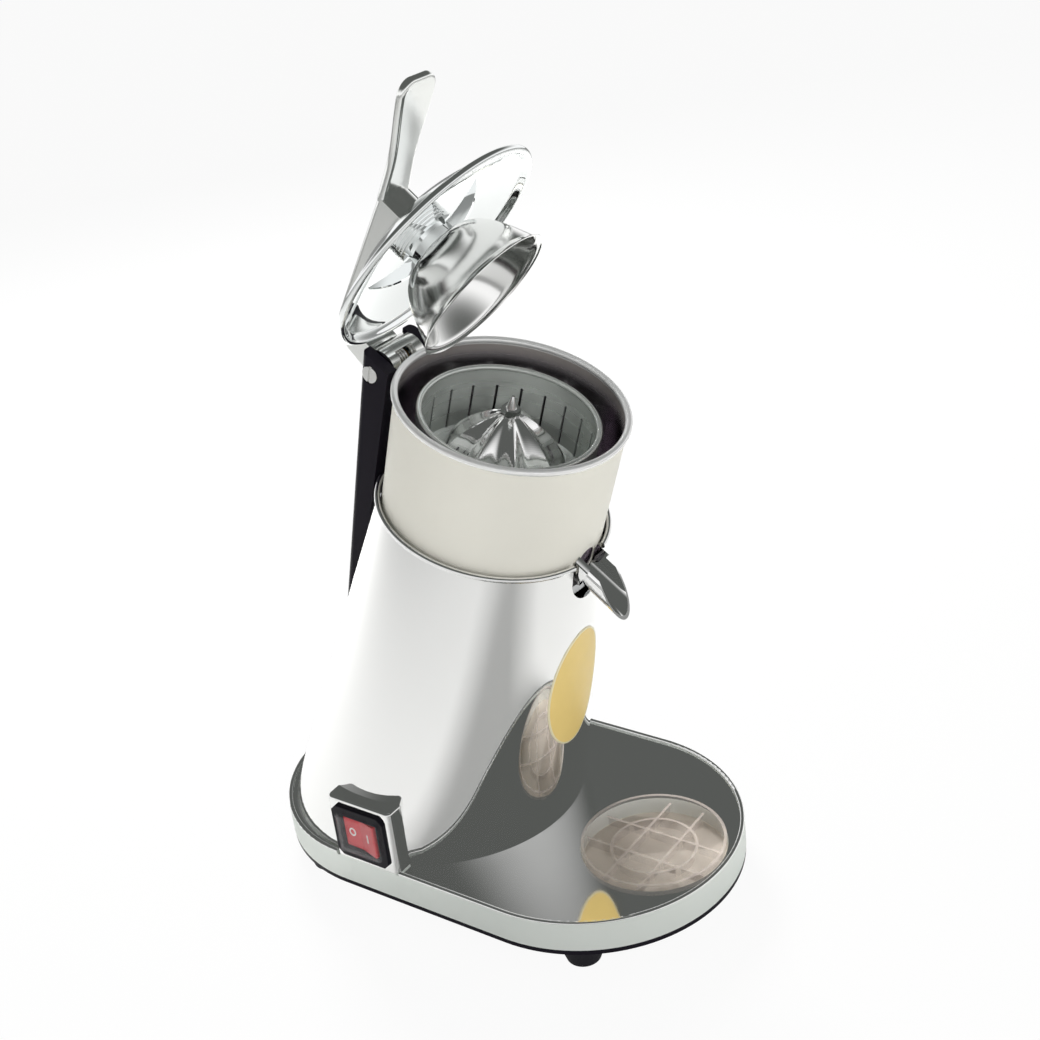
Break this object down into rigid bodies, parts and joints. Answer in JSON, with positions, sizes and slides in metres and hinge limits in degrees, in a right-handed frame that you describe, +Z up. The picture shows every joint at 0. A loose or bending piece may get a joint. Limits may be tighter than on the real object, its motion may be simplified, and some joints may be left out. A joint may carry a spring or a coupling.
{
  "type": "citrus juicer",
  "caption": "Counter-top electric citrus juicer: polished leaning body on a tray with a drip well, bowl with strainer and ribbed reamer, spout, and a sprung lever with a bell press cup.",
  "frame": {"origin": "on the table under the middle of the base", "axes": "+Z up, front with the spout and the drip well towards -Y, switch on the -X side"},
  "size_m": [0.1845, 0.2964, 0.4646],
  "materials": {
    "polished_steel": "mirror-polished stainless steel",
    "satin_steel": "satin stainless steel with a polished rim",
    "cast_aluminium": "cast and tumbled, semi-gloss",
    "black_casting": "black satin enamel",
    "black_plastic": "black moulded plastic",
    "rubber": "black rubber",
    "red_plastic": "red moulded plastic",
    "clear_plastic": "clear moulded plastic",
    "machine_steel": "plain machined steel",
    "bush_bronze": "plain bearing bronze"
  },
  "bodies": {
    "stand": {"base_tray": "polished_steel", "bottom_plate": "black_casting", "rubber_feet": "rubber", "foot_screws": "machine_steel", "cable_gland": "black_plastic", "switch_housing": "polished_steel", "switch_frame": "black_plastic", "switch_cover": "clear_plastic", "switch_body": "black_plastic", "body_shell": "polished_steel", "top_plate": "cast_aluminium", "column_bolts": "machine_steel", "motor_stator": "machine_steel", "upper_shield": "cast_aluminium", "lower_shield": "cast_aluminium", "motor_bolts": "machine_steel", "ball_bearings": "machine_steel", "shaft_seal": "rubber", "run_capacitor": "cast_aluminium", "bowl": "satin_steel", "spout": "polished_steel", "strainer": "satin_steel", "lever_column": "black_casting", "hinge_pin": "machine_steel", "pin_nut": "machine_steel", "lever_spring": "machine_steel"},
    "lever": {"hinge_bushes": "bush_bronze", "lever_arm": "cast_aluminium", "splash_disc": "polished_steel", "press_stud": "machine_steel", "clamp_collar": "polished_steel", "wing_nut": "polished_steel", "press_cup": "polished_steel"},
    "drive": {"motor_rotor": "machine_steel", "motor_shaft": "machine_steel", "cooling_fan": "black_plastic", "reamer": "polished_steel", "reamer_nut": "polished_steel"},
    "rocker": {"switch_rocker": "red_plastic"},
    "insert": {"drip_insert": "clear_plastic"}
  },
  "joints": [
    {"name": "lever_pull", "type": "hinge", "parent": "stand", "child": "lever", "pos_m": [0, 0.03685, 0.31042], "axis": [1, 0, 0], "range_deg": [0, 60], "stiffness_Nm_per_rad": 0.45, "springref_deg": -57.3, "deforming": ["lever_spring"]},
    {"name": "reamer_spin", "type": "hinge", "parent": "stand", "child": "drive", "pos_m": [0, 0.0482, 0.034], "axis": [0, -0.314, 0.9494], "continuous": true},
    {"name": "rocker_tip", "type": "hinge", "parent": "stand", "child": "rocker", "pos_m": [-0.087, 0.037, 0.055], "axis": [0, 0, 1], "range_deg": [0, 16]},
    {"name": "drip_insert_lift", "type": "slide", "parent": "stand", "child": "insert", "axis": [0, 0, 1], "range_m": [0, 0.025]}
  ]
}
